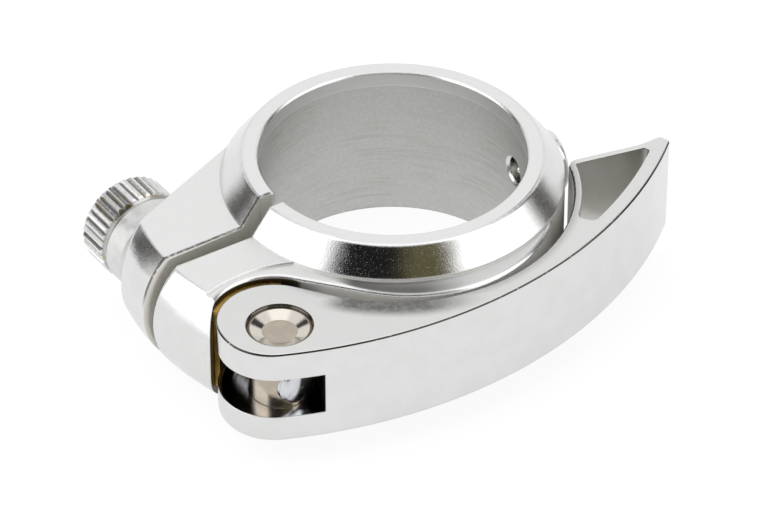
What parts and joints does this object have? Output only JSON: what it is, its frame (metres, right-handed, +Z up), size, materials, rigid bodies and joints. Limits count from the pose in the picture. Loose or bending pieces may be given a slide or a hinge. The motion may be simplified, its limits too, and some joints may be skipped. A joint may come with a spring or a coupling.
{
  "type": "quick-release seatpost clamp",
  "caption": "Split metal collar with a conical shoulder and two ears, closed round a bicycle seat tube by a curved quick-release cam lever, a skewer and a knurled thumb nut.",
  "frame": {"origin": "on the bore axis, at the collar's bottom face", "axes": "+Z up along the bore, -Y towards the slit and the ears, +X towards the lever"},
  "size_m": [0.0498, 0.0714, 0.0222],
  "materials": {
    "chrome": "bright chrome plate over a forged alloy",
    "pin_steel": "satin nickel plate",
    "rod_steel": "bright zinc plate",
    "nut_chrome": "chrome plate with straight knurling",
    "liner_brass": "plain rolled sheet",
    "screw_steel": "bright steel"
  },
  "bodies": {
    "clamp": {"collar": "chrome", "cam_liner": "liner_brass", "set_screw": "screw_steel"},
    "handle": {"lever": "chrome"},
    "skewer": {"skewer_rod": "rod_steel", "barrel_pin": "pin_steel"},
    "nut": {"thumb_nut": "nut_chrome"}
  },
  "joints": [
    {"name": "lever_swing", "type": "hinge", "parent": "clamp", "child": "handle", "pos_m": [0.0156, -0.02825, 0.0108], "axis": [0, 0, -1], "range_deg": [0, 115]},
    {"name": "skewer_follow", "type": "hinge", "parent": "handle", "child": "skewer", "pos_m": [0.017, -0.02825, 0.0108], "axis": [0, 0, 1], "range_deg": [0, 115]},
    {"name": "nut_spin", "type": "hinge", "parent": "skewer", "child": "nut", "pos_m": [-0.015, -0.02825, 0.0108], "axis": [-1, 0, 0], "continuous": true}
  ],
  "couplings": [
    {"joint": "skewer_follow", "follows": "lever_swing", "ratio": 1}
  ]
}
